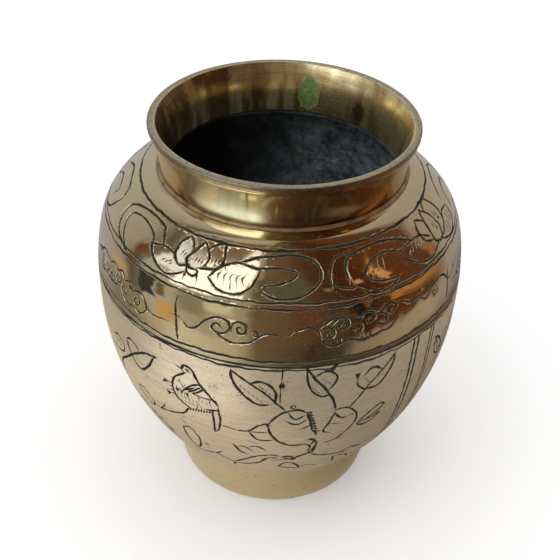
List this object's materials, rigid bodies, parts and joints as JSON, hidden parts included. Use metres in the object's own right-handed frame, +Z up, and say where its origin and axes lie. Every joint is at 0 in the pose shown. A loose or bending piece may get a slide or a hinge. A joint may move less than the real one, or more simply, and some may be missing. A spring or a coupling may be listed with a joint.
{
  "type": "brass planter pot",
  "caption": "Round-bellied brass planter pot with a flared neck, engraved bands and a low tapered foot.",
  "frame": {"origin": "centre of the foot's flat underside, where the pot stands on the table", "axes": "+Z up along the pot's axis of revolution, towards the mouth; +X and +Y are equal by symmetry, and the engraved picture panel faces -Y"},
  "size_m": [0.145, 0.145, 0.165],
  "materials": {
    "polished_brass": "turned and polished, fine turning lines",
    "brazing_metal": "dull fillet",
    "polished_brass_body": "polished, hand engraved, grooves darkened",
    "satin_brass": "brushed satin, hand engraved, grooves darkened",
    "foot_brass": "matt, as turned",
    "plain_brass": "dull, tarnished",
    "soft_solder": "dull grey fillet"
  },
  "bodies": {
    "root": {"neck_collar": "polished_brass", "neck_braze": "brazing_metal", "upper_shell": "polished_brass_body", "girdle_braze": "brazing_metal", "lower_shell": "satin_brass", "foot_braze": "brazing_metal", "foot_ring": "foot_brass", "base_disc": "plain_brass", "base_solder": "soft_solder"}
  },
  "joints": []
}
